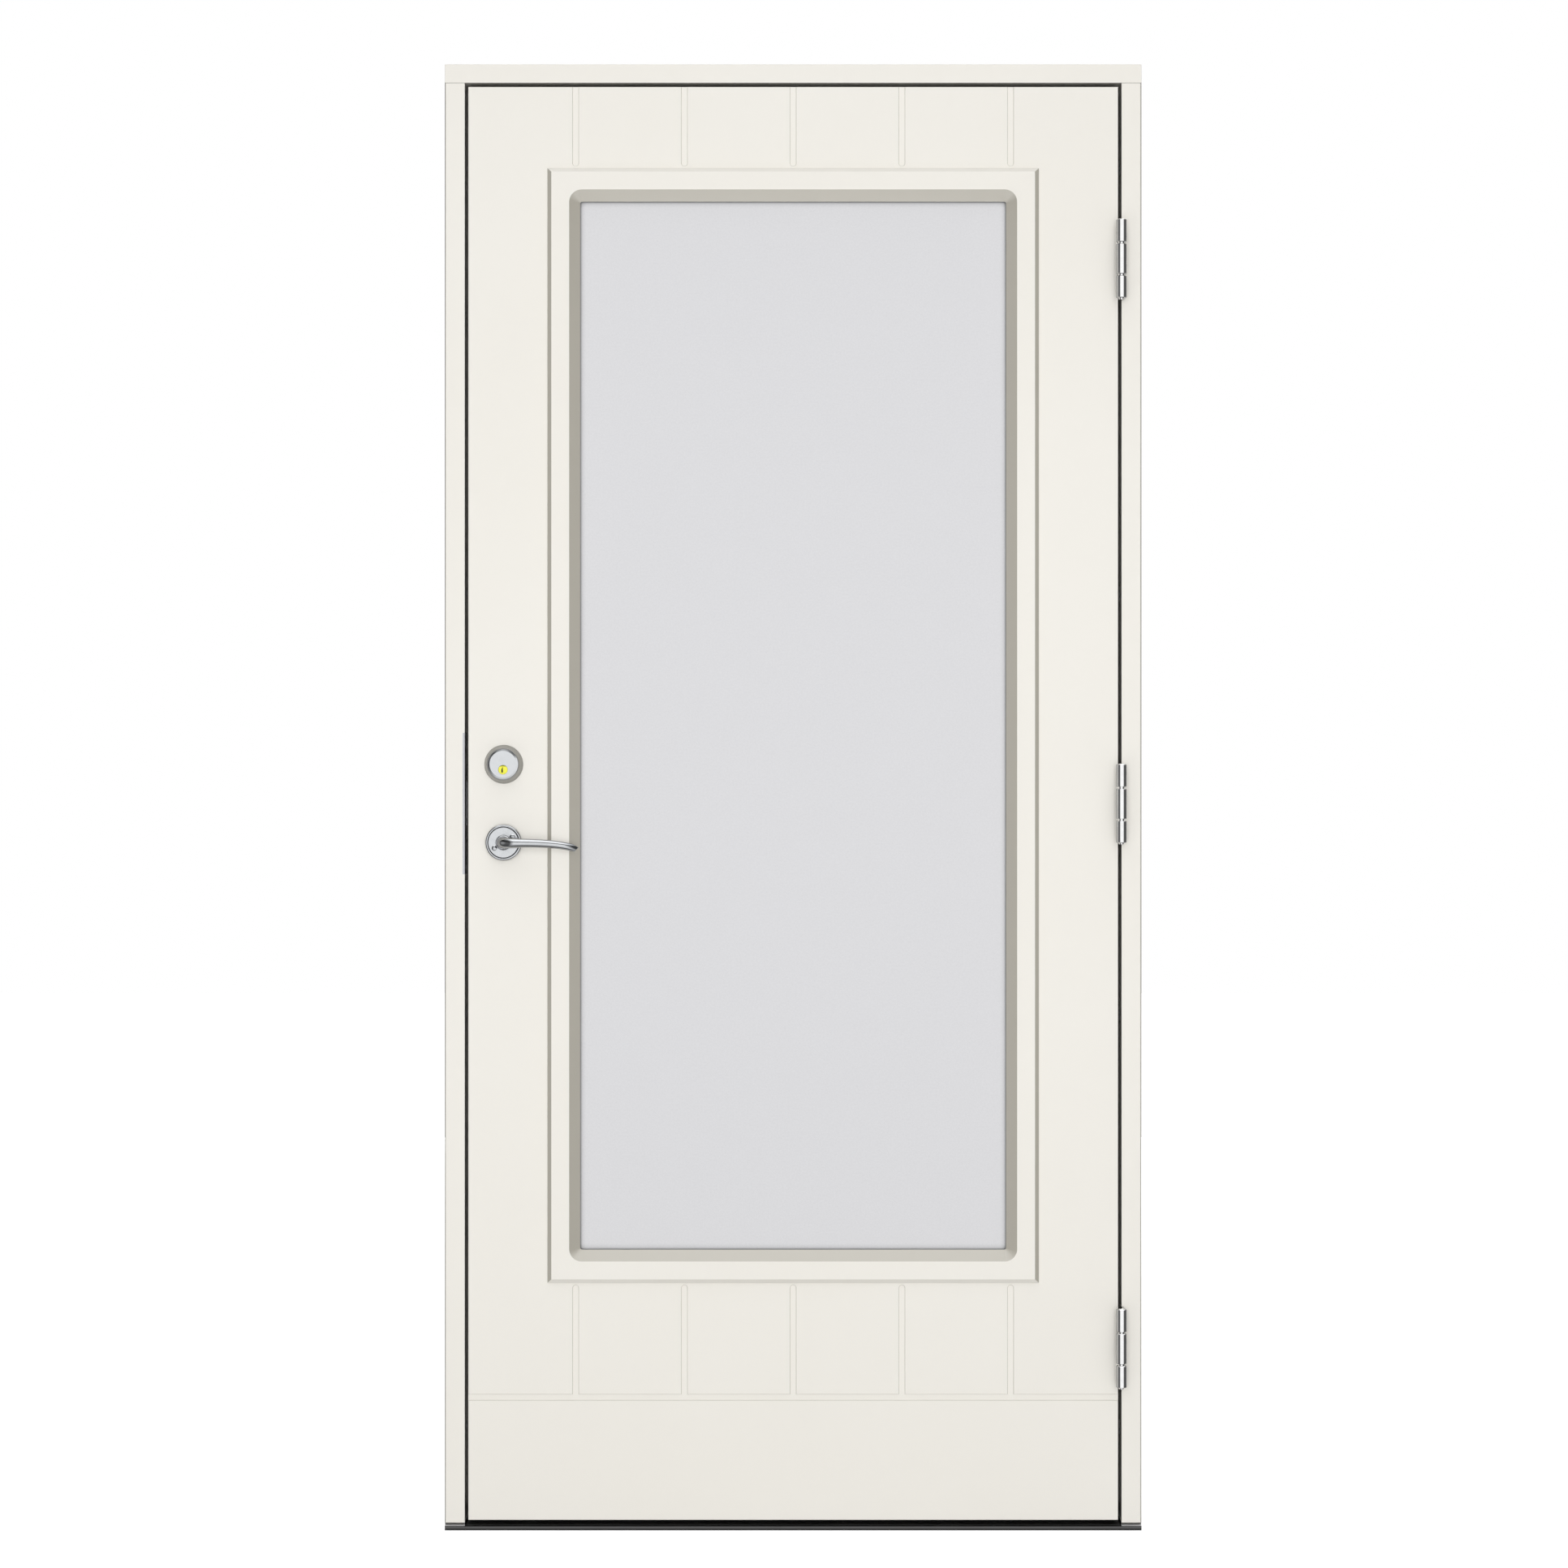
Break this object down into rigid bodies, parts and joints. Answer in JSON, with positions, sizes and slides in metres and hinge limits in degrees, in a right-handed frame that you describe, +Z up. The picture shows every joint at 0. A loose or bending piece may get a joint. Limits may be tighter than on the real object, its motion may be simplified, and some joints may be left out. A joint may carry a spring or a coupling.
{
  "type": "glazed exterior door",
  "caption": "Outward opening exterior door in its frame, with a frosted glass panel, raised glazing frame, grooved faces, lever handle, lock cylinder and barrel hinges",
  "frame": {"origin": "middle of the underside of the threshold", "axes": "X runs across the door to the right seen from outside, towards the hinges, Y runs into the house, Z is up"},
  "size_m": [0.99, 0.1764, 2.083],
  "materials": {
    "painted_wood_frame": "satin cream white paint",
    "painted_leaf": "satin cream white paint on a milled board",
    "painted_leaf_edge": "satin cream white paint",
    "painted_glazing_frame": "satin cream white paint",
    "seal_rubber": "matt black",
    "gasket_rubber": "matt grey",
    "dark_aluminium": "dark anodised",
    "spacer_aluminium": "mill finish",
    "lock_steel": "zinc plated",
    "satin_steel": "satin",
    "polished_chrome": "polished",
    "hinge_chrome": "polished",
    "plug_brass": "bright",
    "frosted_glass": "frosted, lets light through and hides what is behind",
    "clear_glass": "clear"
  },
  "bodies": {
    "frame": {"frame_head": "painted_wood_frame", "frame_jamb_lock_side": "painted_wood_frame", "frame_jamb_hinge_side": "painted_wood_frame", "frame_stop_head": "painted_wood_frame", "frame_stop_lock_side": "painted_wood_frame", "frame_stop_hinge_side": "painted_wood_frame", "frame_seal": "seal_rubber", "threshold_sill": "dark_aluminium", "threshold_upstand": "dark_aluminium", "threshold_seal": "seal_rubber", "strike_plate": "lock_steel", "frame_fixing_sleeves": "lock_steel", "hinge_frame_half_top": "hinge_chrome", "hinge_frame_half_middle": "hinge_chrome", "hinge_frame_half_bottom": "hinge_chrome", "hinge_pins": "lock_steel"},
    "leaf": {"leaf_outer_skin": "painted_leaf", "leaf_inner_skin": "painted_leaf", "leaf_stile_lock_side": "painted_leaf_edge", "leaf_stile_hinge_side": "painted_leaf_edge", "leaf_rail_top": "painted_leaf_edge", "leaf_rail_bottom": "painted_leaf_edge", "glazing_frame_outside": "painted_glazing_frame", "glazing_frame_inside": "painted_glazing_frame", "glazing_gaskets": "gasket_rubber", "glass_pane_outside": "frosted_glass", "glass_pane_middle": "clear_glass", "glass_pane_inside": "clear_glass", "glass_spacers": "spacer_aluminium", "lock_case": "lock_steel", "latch_bolt": "lock_steel", "cylinder_ring_outside": "satin_steel", "cylinder_outside": "polished_chrome", "cylinder_plug": "plug_brass", "thumbturn_rose_inside": "satin_steel", "thumbturn_inside": "polished_chrome", "handle_rose_outside": "polished_chrome", "handle_rose_inside": "polished_chrome", "rose_screws": "polished_chrome", "hinge_leaf_half_top": "hinge_chrome", "hinge_leaf_half_middle": "hinge_chrome", "hinge_leaf_half_bottom": "hinge_chrome"},
    "handle": {"lever_outside": "polished_chrome", "lever_inside": "polished_chrome", "handle_spindle": "lock_steel"}
  },
  "joints": [
    {"name": "leaf_swing", "type": "hinge", "parent": "frame", "child": "leaf", "pos_m": [0.4642, -0.0735, 1.0328], "axis": [0, 0, 1], "range_deg": [0, 170]},
    {"name": "handle_turn", "type": "hinge", "parent": "leaf", "child": "handle", "pos_m": [-0.4111, -0.0215, 0.9773], "axis": [0, 1, 0], "range_deg": [0, 45], "stiffness_Nm_per_rad": 1.2, "springref_deg": -28.65}
  ]
}
